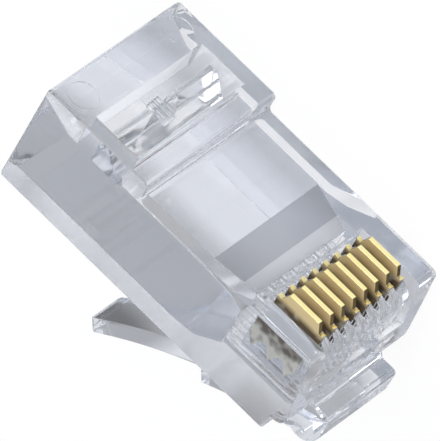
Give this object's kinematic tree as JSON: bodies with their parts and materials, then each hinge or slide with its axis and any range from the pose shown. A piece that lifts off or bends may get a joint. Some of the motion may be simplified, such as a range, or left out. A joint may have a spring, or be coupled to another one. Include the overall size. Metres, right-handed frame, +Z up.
{
  "type": "rj45 modular plug",
  "caption": "Clear modular plug for network cable: moulded housing with sprung locking tab, hinged jacket pawl and gold-plated contact blades standing proud before crimping.",
  "frame": {"origin": "middle of the flat side the plug lies on", "axes": "+Z up from that side through the plug's width, -X the way the nose goes into the jack, -Y out of the contact face, +Y out of the locking-tab face"},
  "size_m": [0.0232, 0.0171, 0.0117],
  "materials": {
    "clear_polycarbonate": "clear, glossy, injection moulded",
    "gold_plated_bronze": "bright gold flash over nickel on phosphor bronze"
  },
  "bodies": {
    "housing": {"housing": "clear_polycarbonate"},
    "locking_tab": {"locking_tab": "clear_polycarbonate"},
    "jacket_pawl": {"jacket_pawl": "clear_polycarbonate"},
    "contact_1": {"contact_1": "gold_plated_bronze"},
    "contact_2": {"contact_2": "gold_plated_bronze"},
    "contact_3": {"contact_3": "gold_plated_bronze"},
    "contact_4": {"contact_4": "gold_plated_bronze"},
    "contact_5": {"contact_5": "gold_plated_bronze"},
    "contact_6": {"contact_6": "gold_plated_bronze"},
    "contact_7": {"contact_7": "gold_plated_bronze"},
    "contact_8": {"contact_8": "gold_plated_bronze"}
  },
  "joints": [
    {"name": "locking_tab_hinge", "type": "hinge", "parent": "housing", "child": "locking_tab", "pos_m": [-0.01107, 0.00355, 0.00584], "axis": [0, 0, -1], "range_deg": [0, 24], "stiffness_Nm_per_rad": 0.3},
    {"name": "jacket_pawl_hinge", "type": "hinge", "parent": "housing", "child": "jacket_pawl", "pos_m": [0.00487, -0.00255, 0.00584], "axis": [0, 0, 1], "range_deg": [0, 40]},
    {"name": "contact_1_crimp_slide", "type": "slide", "parent": "housing", "child": "contact_1", "axis": [0, 1, 0], "range_m": [0, 0.0012]},
    {"name": "contact_2_crimp_slide", "type": "slide", "parent": "housing", "child": "contact_2", "axis": [0, 1, 0], "range_m": [0, 0.0012]},
    {"name": "contact_3_crimp_slide", "type": "slide", "parent": "housing", "child": "contact_3", "axis": [0, 1, 0], "range_m": [0, 0.0012]},
    {"name": "contact_4_crimp_slide", "type": "slide", "parent": "housing", "child": "contact_4", "axis": [0, 1, 0], "range_m": [0, 0.0012]},
    {"name": "contact_5_crimp_slide", "type": "slide", "parent": "housing", "child": "contact_5", "axis": [0, 1, 0], "range_m": [0, 0.0012]},
    {"name": "contact_6_crimp_slide", "type": "slide", "parent": "housing", "child": "contact_6", "axis": [0, 1, 0], "range_m": [0, 0.0012]},
    {"name": "contact_7_crimp_slide", "type": "slide", "parent": "housing", "child": "contact_7", "axis": [0, 1, 0], "range_m": [0, 0.0012]},
    {"name": "contact_8_crimp_slide", "type": "slide", "parent": "housing", "child": "contact_8", "axis": [0, 1, 0], "range_m": [0, 0.0012]}
  ]
}
